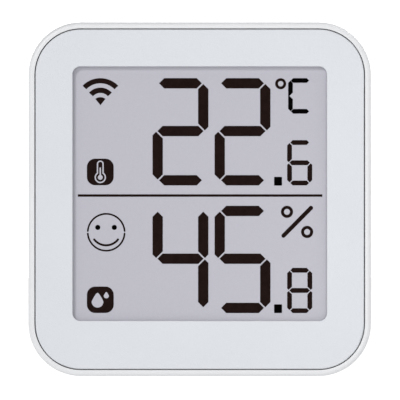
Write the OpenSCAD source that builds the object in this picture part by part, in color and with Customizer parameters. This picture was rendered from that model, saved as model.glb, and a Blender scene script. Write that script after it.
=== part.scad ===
// Desk temperature and humidity sensor: segment display in front, two cells, door and fold-out stand behind.
// The front faces -Y, it stands on z = 0, and the origin is the middle of the base. All sizes are millimetres.

/* [Case] */
// Overall width
body_w = 62; // [59:0.5:70]
// Overall height
body_h = 64; // [61:0.5:72]
// Corner radius, seen from the front
corner_r = 9.5; // [8.5:0.5:11]
// Thickness of the side walls
wall = 1.8; // [1.6:0.1:2.1]
// Thickness of the back wall
back_wall = 1.6; // [1.4:0.1:1.9]
// Width of the rim that shows round the bezel
rim_w = 1.1; // [0.8:0.1:1.2]
// Rounding of the rim's outer front edge
rim_round = 0.8; // [0.3:0.1:0.9]
// Rounding of the edge round the back
back_round = 2.5; // [1:0.25:3]
// How far the rim sits behind the bezel's face
rim_step = 0.3; // [0.1:0.1:0.6]

/* [Bezel] */
// Dark gap between bezel and rim
bezel_gap = 0.2; // [0.15:0.05:0.3]
// Thickness of the bezel's face
bezel_face = 0.9; // [0.8:0.1:1.6]
// Depth of the bezel's edge, which seats on a ledge in the case
bezel_edge = 2.2; // [1.9:0.1:2.6]
// Thickness of the bezel's edge
bezel_skirt = 1.2; // [1:0.1:1.5]
// Rounding of the bezel's outer front edge
bezel_round = 0.25; // [0.1:0.05:0.5]
// Case side to window, left and right
side_border = 8; // [7.5:0.25:10]
// Case top to window
top_border = 8; // [7.8:0.1:10]
// Case base to window
bottom_border = 10; // [9.8:0.1:12]
// Corner radius of the window
window_r = 1.4; // [0.5:0.1:2.5]
// Rounding of the window's front edge
window_round = 0.15; // [0.1:0.05:0.4]

/* [Display] */
// Foam gasket thickness, pressed
gasket_t = 0.2; // [0.15:0.05:0.8]
// Thickness of the polariser and of the reflector
film_t = 0.2; // [0.15:0.05:0.4]
// Thickness of each glass
glass_t = 0.7; // [0.5:0.1:1.1]
// How far the glass runs behind the bezel on each side of the window
seal = 1.3; // [1.2:0.1:1.5]
// Contact ledge of the front glass, past the top of the rear glass
ledge = 2; // [1.8:0.1:2.2]
// Holder wall round the glass
holder_wall = 0.8; // [0.6:0.1:1]
// Holder depth behind the display
holder_back = 2.1; // [1.2:0.1:2.6]

/* [Board] */
// Thickness of the main board
board_t = 1; // [0.8:0.1:1.6]
// Space between the board and the battery bay
solder_room = 1.2; // [1.1:0.1:2]
// Width of the wireless module
module_w = 24; // [20:1:25]
// Height of the wireless module
module_h = 16; // [12:1:17]
// Side of the display driver chip
driver_w = 7; // [5:0.5:7.5]
// Side of the push switch
switch_w = 6; // [4.5:0.5:6.5]
// Height of the push switch's body over the board
switch_h = 3.5; // [2.5:0.5:5]
// Diameter of the push switch's plunger
plunger_d = 3.4; // [3:0.1:3.6]

/* [Cells] */
// Cell diameter
cell_d = 10.5; // [9.5:0.25:10.75]
// Cell length, over its positive nub
cell_l = 44.5; // [42:0.5:45.5]
// Diameter of the positive nub
nub_d = 3.8; // [3:0.2:5]
// Height of the positive nub
nub_h = 0.9; // [0.6:0.1:1.5]
// Space between the cells
cell_gap = 1; // [0.8:0.1:1.2]
// Space round a cell in its bay
cell_fit = 0.3; // [0.2:0.05:0.5]
// Length of a contact spring, pressed by its cell
spring_l = 4; // [3.8:0.1:4.5]
// Wire of the contact springs
wire_d = 0.5; // [0.4:0.05:0.6]
// Widest coil of the contact springs
coil_d = 7; // [6:0.25:7.5]
// Narrowest coil of the contact springs
coil_tip_d = 4.6; // [4:0.1:5]
// Thickness of the contact plates
contact_t = 0.3; // [0.2:0.05:0.5]
// Width of the contact plates
contact_w = 8; // [7.5:0.25:9]
// Thickness of the battery bay's walls
bay_wall = 1.2; // [1:0.1:1.4]
// Thickness of the battery bay's floor
bay_floor = 1.2; // [0.9:0.1:1.6]
// Case top to battery bay
bay_top = 5; // [4.7:0.1:5.6]

/* [Door] */
// Thickness of the battery door
door_t = 1.5; // [1.2:0.1:1.8]
// Gap round the battery door
door_fit = 0.15; // [0.1:0.05:0.25]
// Radius of the door's upper corners
door_r = 3; // [2:0.25:3.5]
// Rounding of the door's outer edges
door_round = 0.3; // [0.15:0.05:0.5]
// Width of each hook on the door's lower edge
hook_w = 6; // [4:0.5:7]
// Reach of the hooks under the back wall
hook_reach = 1.5; // [1:0.1:1.6]
// Width of the latch tongue in the door's upper edge
latch_w = 10; // [8:0.5:14]
// Length of the latch tongue
latch_l = 7; // [6:0.5:9]

/* [Stand] */
// Width of the stand
stand_w = 24; // [20:0.5:25]
// Thickness of the stand
stand_t = 2.2; // [2:0.1:2.5]
// Rounding of the stand's outer edges
stand_round = 0.3; // [0.15:0.05:0.5]
// Diameter of the stand's pivots
pivot_d = 1.4; // [1.2:0.05:1.5]
// Length of each pivot
pivot_l = 1.6; // [1.2:0.1:1.8]
// Running fit of the pivots, on the radius
pivot_fit = 0.06; // [0.03:0.01:0.1]
// Angle at which the stand's heel meets its stop
stop_angle = 50; // [40:1:60]

/* [Button] */
// Diameter of the pairing button
button_d = 6.5; // [5:0.25:7]
// Running fit of the button, on the radius
button_fit = 0.15; // [0.1:0.05:0.2]
// Travel of the button
button_travel = 0.3; // [0.2:0.05:0.4]
// Rounding of the button's edge
button_round = 0.4; // [0.2:0.05:0.6]

/* [Fasteners] */
// Shank of the two case screws
case_screw_d = 2.3; // [2:0.1:2.5]
// Head of the two case screws
case_head_d = 4; // [3.6:0.1:4.2]
// Shank of the four board screws
board_screw_d = 1.6; // [1.4:0.1:1.8]
// Head of the four board screws
board_head_d = 2.8; // [2.6:0.1:3]

/* [Vents] */
// Number of slots in the side wall beside the sensor
vent_count = 6; // [3:1:8]
// Height of each slot
vent_h = 1; // [0.6:0.1:1.2]
// Spacing of the slots
vent_pitch = 2.2; // [1.8:0.1:2.6]
// Length of each slot, front to back
vent_l = 7; // [4:0.5:9]

/* [Hidden] */
$fn = 64;
// Overlap of joined shapes and overshoot of cuts
cut = 0.01;

// Depths from the front face to the back
y_film = bezel_face + gasket_t;
y_front_glass = y_film + film_t;
y_rear_glass = y_front_glass + glass_t;
y_reflector = y_rear_glass + glass_t;
y_display = y_reflector + film_t;
y_board = y_display + holder_back;
y_board_back = y_board + board_t;
y_tray = y_board_back + solder_room;
y_bay = y_tray + bay_floor;
cell_rest = 0.1;
y_cell = y_bay + cell_rest + cell_d / 2;
y_door = y_cell + cell_d / 2 + cell_fit;
flush = 0.1;
y_face = y_door + door_t;
body_d = y_face + flush;
y_back = body_d - back_wall;

// Window and display
window_w = body_w - 2 * side_border;
window_z0 = bottom_border;
window_h = body_h - top_border - bottom_border;
film_in = 0.2;
film_lap = seal - film_in;
gasket_lap = 0.3;
glass_w = window_w + 2 * seal;
glass_z0 = window_z0 - seal;
rear_glass_h = window_h + 2 * seal;
front_glass_h = rear_glass_h + ledge;
ledge_z0 = glass_z0 + rear_glass_h;
display_fit = 0.2;
holder_half = glass_w / 2 + display_fit + holder_wall;
holder_z0 = glass_z0 - display_fit - holder_wall;
holder_z1 = glass_z0 + front_glass_h + display_fit + holder_wall;
holder_bar = 4.5;
strip_in = 1.8;
strip_gap = 0.25;
strip_half = glass_w / 2 - strip_in;
strip_z0 = ledge_z0 + strip_gap;
strip_z1 = ledge_z0 + ledge - strip_gap;

// Bezel and its two snap tabs
bezel_in = rim_w + bezel_gap;
rim_land = 0.1;
tab_x = 14;
tab_w = 8;
tab_t = 1.2;
tab_fit = 0.25;
tab_reach = 0.7;
tab_lead = 0.4;
tab_drop = 0.8;
tab_z1 = body_h - wall - display_fit;
tab_y = bezel_edge + tab_drop;

// Main board and its four screws
board_fit = 0.4;
board_lift = 0.6;
board_z0 = holder_z0 + board_lift;
board_z1 = holder_z1;
board_boss_wall = 0.9;
board_boss_r = board_screw_d / 2 + board_boss_wall;
board_screw_x = holder_half + display_fit + board_boss_r;
board_screw_low = 8;
board_screw_high = 10;
board_screw_z = [board_z0 + board_screw_low, board_z1 - board_screw_high];
board_head_h = 0.9;
board_head_round = 0.3;
board_screw_l = 3.2;
pilot_spare = 0.4;
board_pilot_y = y_board_back - board_screw_l - pilot_spare;
thread_fit = 0.02;
relief = 0.2;

// Battery bay and contacts
bay_half = contact_t + (cell_l + spring_l) / 2;
bay_z1 = body_h - bay_top;
bay_z0 = bay_z1 - 2 * (cell_d + cell_fit) - cell_gap;
z_upper = bay_z1 - cell_fit - cell_d / 2;
z_lower = z_upper - cell_d - cell_gap;
z_between = (z_upper + z_lower) / 2;
cell_bevel = 0.4;
contact_rise = 3.5;
contact_top = y_cell + contact_rise;
tail_w = 2;
tail_fit = 0.2;
tail_sink = 0.1;
rib_gap = 0.2;
rib_t = cell_gap - 2 * rib_gap;
rib_h = 3;
rib_half = cell_l / 2 - spring_l;
turns = 2.5;
ring_sides = 6;
rings_per_turn = 8;

// Battery door
door_half = bay_half + bay_wall;
door_z0 = bay_z0 - bay_wall;
door_z1 = bay_z1 + bay_wall;
door_seat = 0.1;
door_edge_r = door_t / 2;
door_axis_y = y_door + door_edge_r;
door_axis_z = door_z0 + door_edge_r;
door_rib_t = 1;
door_rib_h = 1.6;
hook_in = 1.5;
hook_x = bay_half - hook_w / 2 - hook_in;
hook_t = 0.9;
hook_y = y_back - door_fit - hook_t;
hook_root = 0.4;
latch_half = latch_w / 2;
slit = 0.6;
nail_r = 1.4;
nail_depth = 0.8;
grip_count = 3;
grip_r = 0.6;
grip_pitch = 1.6;
grip_depth = 0.3;

// Stand and its recess
stand_fit = 0.2;
stand_back = 0.25;
stand_wall = 1.2;
stand_y1 = y_face;
stand_y0 = stand_y1 - stand_t;
recess_y = stand_y0 - stand_back;
recess_half = stand_w / 2 + stand_fit;
bridge = 1.6;
recess_z1 = door_z0 - door_fit - bridge;
stand_r = stand_t / 2;
heel_h = (stand_r + stand_back) / sin(stop_angle);
heel_swing = sqrt(heel_h * heel_h + stand_r * stand_r);
stand_axis_y = stand_y1 - stand_r;
stand_axis_z = recess_z1 - heel_swing - stand_fit;
stand_foot = 2.2;
foot_r = 4;
pull_half = 7;
pull_r = 1.2;
pull_depth = 0.6;
pull_z = 3;
ear_wall = 1.4;
ear_half = recess_half + pivot_l + stand_wall;
ear_r = pivot_d / 2 + ear_wall;

// Case screws, their posts in the case and their bosses on the bezel
boss_wall = 1.05;
boss_r = case_screw_d / 2 + boss_wall;
boss_gap = 0.1;
head_fit = 0.3;
post_out = 0.5;
post_lift = 1.2;
post_wall = 0.6;
post_room = 2;
post_floor = 1.6;
post_x = body_w / 2 - corner_r + post_out;
post_z = wall + boss_r + post_lift;
post_r = case_head_d / 2 + head_fit + post_wall;
post_y = y_board_back + post_room;
post_seat = post_y + post_floor;
case_head_h = 1.6;
case_head_round = 0.6;
case_screw_l = 6;
case_pilot_y = post_seat - case_screw_l - pilot_spare;

// Cross recess of every screw, as shares of its head
cross_span = 0.55;
cross_arm = 0.14;
cross_depth = 0.55;

// Pairing button and its switch
button_x = (ear_half + body_w / 2 - wall) / 2;
button_z = (post_z + bay_z0) / 2;
sleeve_wall = 1.2;
sleeve_l = 3.5;
sleeve_r = button_d / 2 + button_fit + sleeve_wall;
sleeve_y = y_back - sleeve_l;
collar_lip = 0.9;
collar_t = 1.2;
collar_gap = 0.2;
collar_r = button_d / 2 + collar_lip;
collar_y = sleeve_y - collar_gap;
dish_r = 9;
dish_depth = 0.25;
stem_r = 1.6;
plunger_l = 1.5;
plunger_hold = 0.4;
plunger_fit = 0.05;
plunger_r = plunger_d / 2;
plunger_y = y_board_back + switch_h;
plunger_tip = plunger_y + plunger_l;
plunger_sink = button_travel + plunger_hold;

// Parts on the board
chip_t = 1;
module_t = 0.8;
module_x = 1;
module_lift = 1.6;
module_z0 = board_z0 + module_lift;
pad_count = 10;
pad_pitch = 1.27;
pad_r = 0.35;
shield_h = 2.2;
shield_in = 1;
shield_r = 0.6;
antenna_w = 6;
driver_gap = 1;
driver_drop = 1;
driver_x = module_x - module_w / 2 - driver_gap - driver_w / 2;
driver_z = module_z0 + module_h - driver_drop;
sensor_w = 2.5;
sensor_h = 0.9;
sensor_hole_r = 0.5;
sensor_in = 5;
sensor_lift = 4.6;
sensor_x = -body_w / 2 + wall + sensor_in;
sensor_z = board_z0 + sensor_lift;
slot_t = 1;
cap_w = 2;
cap_h = 1.25;
cap_t = 0.9;
cap_gap = 2;
cap_pitch = 4;
cap_count = 6;
cap_z = module_z0 + module_h + cap_gap;

// Vents
vent_gap = 0.8;
vent_lift = 1;
vent_y = y_board_back + vent_gap;
vent_z0 = corner_r + vent_lift;

// Moves a piece from depths behind the front face to the shared frame
module place() {
  translate([0, -body_d / 2, 0]) children();
}

// Box between two corners
module block(lo, hi) {
  translate(lo) cube(hi - lo);
}

// Cylinder along the depth
module rod(x, z, r, y0, y1) {
  translate([x, y0, z]) rotate([-90, 0, 0]) cylinder(r = r, h = y1 - y0);
}

// Cylinder along the width
module axle(y, z, r, x0, x1) {
  translate([x0, y, z]) rotate([0, 90, 0]) cylinder(r = r, h = x1 - x0);
}

// Outline in depth and height, drawn out along the width
module prism(x0, x1, outline) {
  translate([x0, 0, 0]) rotate([90, 0, 90]) linear_extrude(height = x1 - x0) polygon(outline);
}

// Same at +x and -x
module both_sides() {
  children();
  mirror([1, 0, 0]) children();
}

// Section of an edge: outwards in x, depth in y, with its outer corners rounded
module edge_section(r, y0, y1, front, back) {
  difference() {
    translate([0, y0]) square([r, y1 - y0]);
    if (front > 0) difference() {
      translate([r - front, y0 - cut]) square([front + cut, front + cut]);
      translate([r - front, y0 + front]) circle(r = front);
    }
    if (back > 0) difference() {
      translate([r - back, y1 - back]) square([back + cut, back + cut]);
      translate([r - back, y1 - back]) circle(r = back);
    }
  }
}

// Section of the cut that rounds the front edge of an opening: outwards in x, depth in y
module lip_section(r, round) {
  difference() {
    translate([0, -cut]) square([r + round, round + cut]);
    translate([r + round, round]) circle(r = round);
  }
}

// Sweeps a section round an upright rectangle, centred on x, with corners of radius r
module sweep_rect(w, h, r, z0) {
  half_w = w / 2 - r;
  half_h = h / 2 - r;
  corners = [[0, 1, 1], [90, -1, 1], [180, -1, -1], [270, 1, -1]];
  sides = [[0, half_w, half_h], [90, half_h, half_w], [180, half_w, half_h], [270, half_h, half_w]];
  translate([0, 0, z0 + h / 2]) rotate([-90, 0, 0]) {
    for (c = corners)
      translate([c[1] * half_w, c[2] * half_h, 0]) rotate([0, 0, c[0]])
        rotate_extrude(angle = 90) children();
    for (s = sides)
      rotate([0, 0, s[0]]) translate([s[1], 0, 0]) rotate([90, 0, 0])
        linear_extrude(height = 2 * s[2], center = true) children();
  }
}

// Upright slab with rounded corners, and with rounded edges at its front and back if asked
module slab(w, h, r, z0, y0, y1, front = 0, back = 0) {
  sweep_rect(w, h, r, z0) edge_section(r, y0, y1, front, back);
  block([r - w / 2, y0, z0 + r], [w / 2 - r, y1, z0 + h - r]);
}

// Slab set in from the case's own outline by the same amount all round
module inset_slab(inset, y0, y1, front = 0, back = 0) {
  slab(body_w - 2 * inset, body_h - 2 * inset, corner_r - inset, inset, y0, y1, front, back);
}

// Pan-head screw whose rounded head faces the back, with a cross recess
module screw(x, z, seat, shank_d, shank_l, head_d, head_h, head_round) {
  reach = head_d * cross_span / 2;
  arm = head_d * cross_arm / 2;
  top = seat + head_h;
  difference() {
    union() {
      translate([x, 0, z]) rotate([-90, 0, 0])
        rotate_extrude() edge_section(head_d / 2, seat, top, 0, head_round);
      rod(x, z, shank_d / 2, seat - shank_l, seat + cut);
    }
    block([x - reach, top - head_h * cross_depth, z - arm], [x + reach, top + cut, z + arm]);
    block([x - arm, top - head_h * cross_depth, z - reach], [x + arm, top + cut, z + reach]);
  }
}

// Path of a conical contact spring along x, with a straight lead at each end
function coil_angle(t) = 360 * turns * t;
function coil_r(t) = (coil_d - wire_d) / 2 * (1 - t) + coil_tip_d / 2 * t;
function coil_point(t) = [
  wire_d + (spring_l - 2 * wire_d) * t,
  coil_r(t) * cos(coil_angle(t)),
  coil_r(t) * sin(coil_angle(t))
];
coil_steps = turns * rings_per_turn;
coil = [for (i = [0 : coil_steps]) coil_point(i / coil_steps)];
coil_start = [0, coil[0][1], coil[0][2]];
coil_end = [spring_l, coil[coil_steps][1], coil[coil_steps][2]];
coil_path = concat([coil_start], coil, [coil_end]);
coil_last = len(coil_path) - 1;
function unit(v) = v / norm(v);
function along(i) = i == 0 || i == coil_last ? [1, 0, 0]
  : unit(unit(coil_path[i + 1] - coil_path[i]) + unit(coil_path[i] - coil_path[i - 1]));
function outward(i) = unit([0, coil_path[i][1], coil_path[i][2]]);
function across(i) = unit(cross(along(i), outward(i)));
function ring(i) = [for (k = [0 : ring_sides - 1])
  coil_path[i] + wire_d / 2 * (cos(360 * k / ring_sides) * cross(across(i), along(i))
  + sin(360 * k / ring_sides) * across(i))];
coil_points = [for (i = [0 : coil_last]) each ring(i)];
function ring_at(i, k) = i * ring_sides + k % ring_sides;
coil_cells = [for (i = [0 : coil_last - 1], k = [0 : ring_sides - 1]) [i, k]];
coil_faces = concat(
  [for (c = coil_cells) [ring_at(c[0], c[1]), ring_at(c[0], c[1] + 1), ring_at(c[0] + 1, c[1])]],
  [for (c = coil_cells) [ring_at(c[0], c[1] + 1), ring_at(c[0] + 1, c[1] + 1), ring_at(c[0] + 1, c[1])]],
  [for (k = [1 : ring_sides - 2]) [ring_at(0, 0), ring_at(0, k + 1), ring_at(0, k)]],
  [for (k = [1 : ring_sides - 2]) [ring_at(coil_last, 0), ring_at(coil_last, k), ring_at(coil_last, k + 1)]]
);
coil_gaps = [for (i = [0 : coil_last], j = [i + rings_per_turn / 2 : coil_last])
  norm(coil_path[i] - coil_path[j]) - wire_d];
echo(least_spring_gap = min(coil_gaps));

module contact_spring() {
  polyhedron(points = coil_points, faces = coil_faces);
}

// Cylindrical cell lying along x, its negative end at x = 0 and its nub at x = cell_l
module cell() {
  cell_r = cell_d / 2;
  shoulder = cell_l - nub_h;
  rotate([0, 90, 0]) rotate_extrude() polygon([
    [0, 0], [cell_r - cell_bevel, 0], [cell_r, cell_bevel], [cell_r, shoulder - cell_bevel],
    [cell_r - cell_bevel, shoulder], [nub_d / 2, shoulder], [nub_d / 2, cell_l], [0, cell_l]
  ]);
}

// Plate at the left end of the bay, with a tail through the bay's floor to the board
module tailed_contact(z) {
  x1 = -bay_half + contact_t;
  block([-bay_half, y_bay, z - contact_w / 2], [x1, contact_top, z + contact_w / 2]);
  block([-bay_half, y_board + tail_sink, z - tail_w / 2], [x1, y_bay + cut, z + tail_w / 2]);
}

// Snap tab on the bezel's upper edge, with a sloped lead-in behind its nib
module snap_tab() {
  prism(tab_x - tab_w / 2, tab_x + tab_w / 2, [
    [bezel_face - cut, tab_z1 - tab_t], [tab_y + tab_t, tab_z1 - tab_t], [tab_y + tab_t, tab_z1],
    [tab_y + tab_lead, tab_z1 + tab_reach], [tab_y, tab_z1 + tab_reach], [tab_y, tab_z1],
    [bezel_face - cut, tab_z1]
  ]);
}

// Slot with round ends through the left wall
module vent(z) {
  r = vent_h / 2;
  x0 = -body_w / 2 - cut;
  x1 = -body_w / 2 + wall + cut;
  ends = [vent_y + r, vent_y + vent_l - r];
  block([x0, ends[0], z], [x1, ends[1], z + vent_h]);
  for (y = ends) axle(y, z + r, r, x0, x1);
}

// Door outline with rounded upper corners, a straight lower edge and a rounded outer edge if asked
module door_outline(grow, low, y0, y1, back = 0) {
  half = door_half + grow;
  slab(2 * half, door_z1 + grow - low, door_r + grow, low, y0, y1, back = back);
  translate([0, 0, low]) linear_extrude(height = 2 * (door_r + grow))
    both_sides() edge_section(half, y0, y1, 0, back);
}

module front_bezel() color("#dfe2e7") place() difference() {
  union() {
    difference() {
      inset_slab(bezel_in, 0, bezel_edge, front = bezel_round);
      inset_slab(bezel_in + bezel_skirt, bezel_face, bezel_edge + cut);
    }
    both_sides() {
      rod(post_x, post_z, boss_r, bezel_face - cut, post_y - boss_gap);
      for (z = board_screw_z) rod(board_screw_x, z, board_boss_r, bezel_face - cut, y_board);
      snap_tab();
    }
  }
  slab(window_w, window_h, window_r, window_z0, -cut, bezel_face + cut);
  sweep_rect(window_w, window_h, window_r, window_z0) lip_section(window_r, window_round);
  both_sides() {
    rod(post_x, post_z, case_screw_d / 2 + thread_fit, case_pilot_y, post_y + cut);
    for (z = board_screw_z)
      rod(board_screw_x, z, board_screw_d / 2 + thread_fit, board_pilot_y, y_board + cut);
  }
}

module rear_case() color("#eef0f1") place() difference() {
  union() {
    difference() {
      inset_slab(0, rim_step, body_d, front = min(rim_round, rim_w - rim_land), back = back_round);
      inset_slab(wall, -cut, y_back);
      inset_slab(rim_w, -cut, bezel_edge);
    }
    block([-door_half, y_tray, door_z0], [door_half, y_back + cut, door_z1]);
    block([-recess_half - stand_wall, recess_y - stand_wall, wall - cut],
          [recess_half + stand_wall, y_back + cut, recess_z1 + stand_wall]);
    both_sides() {
      block([recess_half, recess_y - stand_wall, stand_axis_z - ear_r],
            [ear_half, y_back + cut, stand_axis_z + ear_r]);
      rod(post_x, post_z, post_r, post_y, y_back + cut);
    }
    rod(button_x, button_z, sleeve_r, sleeve_y, y_back + cut);
  }
  difference() {
    block([-bay_half, y_bay, bay_z0], [bay_half, body_d + cut, bay_z1]);
    block([-rib_half, y_bay - cut, z_between - rib_t / 2], [rib_half, y_bay + rib_h, z_between + rib_t / 2]);
  }
  door_outline(door_fit, door_z0 - door_fit, y_door - door_seat, body_d + cut);
  axle(body_d + nail_r - nail_depth, door_z1 + door_fit, nail_r, -latch_half, latch_half);
  block([-recess_half, recess_y, -cut], [recess_half, body_d + cut, recess_z1]);
  both_sides() {
    block([hook_x - hook_w / 2 - door_fit, hook_y - hook_reach, door_z0 - cut],
          [hook_x + hook_w / 2 + door_fit, y_door, bay_z0 + cut]);
    axle(stand_axis_y, stand_axis_z, pivot_d / 2 + pivot_fit, recess_half - cut, recess_half + pivot_l);
    rod(post_x, post_z, case_head_d / 2 + head_fit, post_seat, body_d + cut);
    rod(post_x, post_z, case_screw_d / 2 + head_fit, post_y - cut, post_seat + cut);
    rod(post_x, post_z, boss_r + relief, -cut, post_y);
    for (z = board_screw_z)
      rod(board_screw_x, z, board_boss_r + relief, -cut, y_board_back + board_head_h + relief);
    block([tab_x - tab_w / 2 - tab_fit, tab_y - tab_fit, body_h - wall - cut],
          [tab_x + tab_w / 2 + tab_fit, tab_y + tab_t + tab_fit, tab_z1 + tab_reach + tab_fit]);
  }
  rod(button_x, button_z, button_d / 2 + button_fit, sleeve_y - cut, body_d + cut);
  for (z = [z_upper, z_lower])
    block([-bay_half - cut, y_tray - cut, z - tail_w / 2 - tail_fit],
          [-bay_half + contact_t + tail_fit, y_bay + cut, z + tail_w / 2 + tail_fit]);
  for (i = [0 : vent_count - 1]) vent(vent_z0 + i * vent_pitch);
}

module lcd_gasket() color("#2b2b2d") place() difference() {
  slab(window_w + 2 * film_lap, window_h + 2 * film_lap, window_r, window_z0 - film_lap, bezel_face, y_film);
  slab(window_w + 2 * gasket_lap, window_h + 2 * gasket_lap, window_r, window_z0 - gasket_lap,
       bezel_face - cut, y_film + cut);
}

module lcd_front_polariser() color("#c2bfc9") place() {
  block([-window_w / 2 - film_lap, y_film, window_z0 - film_lap],
        [window_w / 2 + film_lap, y_front_glass, window_z0 + window_h + film_lap]);
}

module lcd_front_glass() color("#d5e0dc") place() {
  block([-glass_w / 2, y_front_glass, glass_z0], [glass_w / 2, y_rear_glass, glass_z0 + front_glass_h]);
}

module lcd_rear_glass() color("#cfdcd8") place() {
  block([-glass_w / 2, y_rear_glass, glass_z0], [glass_w / 2, y_reflector, glass_z0 + rear_glass_h]);
}

module lcd_reflector() color("#c9c9cf") place() {
  block([-window_w / 2 - film_lap, y_reflector, window_z0 - film_lap],
        [window_w / 2 + film_lap, y_display, window_z0 + window_h + film_lap]);
}

module lcd_holder() color("#f2f2f0") place() difference() {
  block([-holder_half, y_front_glass, holder_z0], [holder_half, y_board, holder_z1]);
  block([-glass_w / 2 - display_fit, y_front_glass - cut, glass_z0 - display_fit],
        [glass_w / 2 + display_fit, y_rear_glass, holder_z1 - holder_wall]);
  block([-glass_w / 2 - display_fit, y_front_glass - cut, glass_z0 - display_fit],
        [glass_w / 2 + display_fit, y_display, ledge_z0 + display_fit / 2]);
  block([-holder_half + holder_bar, y_front_glass, holder_z0 + holder_bar],
        [holder_half - holder_bar, y_board + cut, ledge_z0 - holder_bar]);
  block([-strip_half - display_fit, y_front_glass, strip_z0 - display_fit],
        [strip_half + display_fit, y_board + cut, strip_z1 + display_fit]);
}

module elastomer_strip() color("#e3b9c4") place() {
  block([-strip_half, y_rear_glass, strip_z0], [strip_half, y_board, strip_z1]);
}

module main_board() color("#1f6b3c") place() difference() {
  intersection() {
    inset_slab(wall + board_fit, y_board, y_board_back);
    block([-body_w / 2, y_board, board_z0], [body_w / 2, y_board_back, board_z1]);
  }
  both_sides() for (z = board_screw_z)
    rod(board_screw_x, z, board_screw_d / 2 + relief, y_board - cut, y_board_back + cut);
  for (z = [z_upper, z_lower])
    block([-bay_half - tail_fit, y_board - cut, z - tail_w / 2 - tail_fit],
          [-bay_half + contact_t + tail_fit, y_board_back + cut, z + tail_w / 2 + tail_fit]);
  block([sensor_x + sensor_w, y_board - cut, board_z0 - cut],
        [sensor_x + sensor_w + slot_t, y_board_back + cut, sensor_z + sensor_w]);
  block([sensor_x - sensor_w, y_board - cut, sensor_z + sensor_w],
        [sensor_x + sensor_w + slot_t, y_board_back + cut, sensor_z + sensor_w + slot_t]);
}

module wireless_module() color("#173f2a") place() difference() {
  block([module_x - module_w / 2, y_board_back, module_z0],
        [module_x + module_w / 2, y_board_back + module_t, module_z0 + module_h]);
  for (z = [module_z0, module_z0 + module_h], i = [0 : pad_count - 1])
    rod(module_x - antenna_w / 2 + (i - (pad_count - 1) / 2) * pad_pitch, z, pad_r,
        y_board_back - cut, y_board_back + module_t + cut);
}

module wireless_shield() color("#c9ccd0") place() {
  translate([module_x - antenna_w / 2, 0, 0])
    slab(module_w - antenna_w - 2 * shield_in, module_h - 2 * shield_in, shield_r, module_z0 + shield_in,
         y_board_back + module_t, y_board_back + module_t + shield_h);
}

module display_driver() color("#1d1d20") place() {
  block([driver_x - driver_w / 2, y_board_back, driver_z - driver_w / 2],
        [driver_x + driver_w / 2, y_board_back + chip_t, driver_z + driver_w / 2]);
}

module humidity_sensor() color("#26262a") place() difference() {
  block([sensor_x - sensor_w / 2, y_board_back, sensor_z - sensor_w / 2],
        [sensor_x + sensor_w / 2, y_board_back + sensor_h, sensor_z + sensor_w / 2]);
  rod(sensor_x, sensor_z, sensor_hole_r, y_board_back + sensor_h / 2, y_board_back + sensor_h + cut);
}

module chip_capacitors() color("#b79b78") place() {
  for (i = [0 : cap_count - 1])
    translate([module_x + (i - (cap_count - 1) / 2) * cap_pitch - cap_w / 2, y_board_back, cap_z])
      cube([cap_w, cap_t, cap_h]);
}

module push_switch() color("#2a2a2c") place() difference() {
  block([button_x - switch_w / 2, y_board_back, button_z - switch_w / 2],
        [button_x + switch_w / 2, plunger_y, button_z + switch_w / 2]);
  rod(button_x, button_z, plunger_r + plunger_fit, plunger_y - plunger_sink, plunger_y + cut);
}

module switch_plunger() color("#3a3a3d") place() {
  rod(button_x, button_z, plunger_r, plunger_y - plunger_sink + button_travel + plunger_fit, plunger_tip);
}

module pairing_button() color("#d3d6da") place() difference() {
  union() {
    translate([button_x, 0, button_z]) rotate([-90, 0, 0])
      rotate_extrude() edge_section(button_d / 2, collar_y - cut, y_face, 0, button_round);
    rod(button_x, button_z, collar_r, collar_y - collar_t, collar_y);
    rod(button_x, button_z, stem_r, plunger_tip, collar_y - collar_t + cut);
  }
  translate([button_x, y_face + dish_r - dish_depth, button_z]) sphere(r = dish_r);
}

module upper_cell() color("#3f4246") place() {
  translate([bay_half - contact_t - spring_l, y_cell, z_upper]) mirror([1, 0, 0]) cell();
}

module lower_cell() color("#3f4246") place() {
  translate([-bay_half + contact_t + spring_l, y_cell, z_lower]) cell();
}

module positive_contact() color("#c9c6bb") place() tailed_contact(z_upper);

module negative_contact() color("#c9c6bb") place() tailed_contact(z_lower);

module negative_spring() color("#b8b8b4") place() {
  translate([-bay_half + contact_t, y_cell, z_lower]) contact_spring();
}

module bridge_contact() color("#c9c6bb") place() {
  block([bay_half - contact_t, y_bay, z_lower - contact_w / 2],
        [bay_half, contact_top, z_upper + contact_w / 2]);
}

module bridge_spring() color("#b8b8b4") place() {
  translate([bay_half - contact_t, y_cell, z_upper]) rotate([0, 0, 180]) contact_spring();
}

module battery_door() color("#eceef0") place() difference() {
  union() {
    door_outline(0, door_axis_z, y_door, y_face, back = door_round);
    axle(door_axis_y, door_axis_z, door_edge_r, -door_half, door_half);
    block([-rib_half, y_door - door_rib_h, z_between - door_rib_t / 2],
          [rib_half, y_door + cut, z_between + door_rib_t / 2]);
    both_sides() {
      block([hook_x - hook_w / 2, hook_y, door_z0 + door_fit],
            [hook_x + hook_w / 2, door_axis_y, door_axis_z + hook_root]);
      block([hook_x - hook_w / 2, hook_y, door_z0 - hook_reach],
            [hook_x + hook_w / 2, hook_y + hook_t, door_axis_z]);
    }
  }
  both_sides() block([latch_half, y_door - cut, door_z1 - latch_l], [latch_half + slit, body_d, door_z1 + cut]);
  for (i = [1 : grip_count])
    axle(y_face + grip_r - grip_depth, door_z1 - i * grip_pitch, grip_r, slit - latch_half, latch_half - slit);
}

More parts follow.
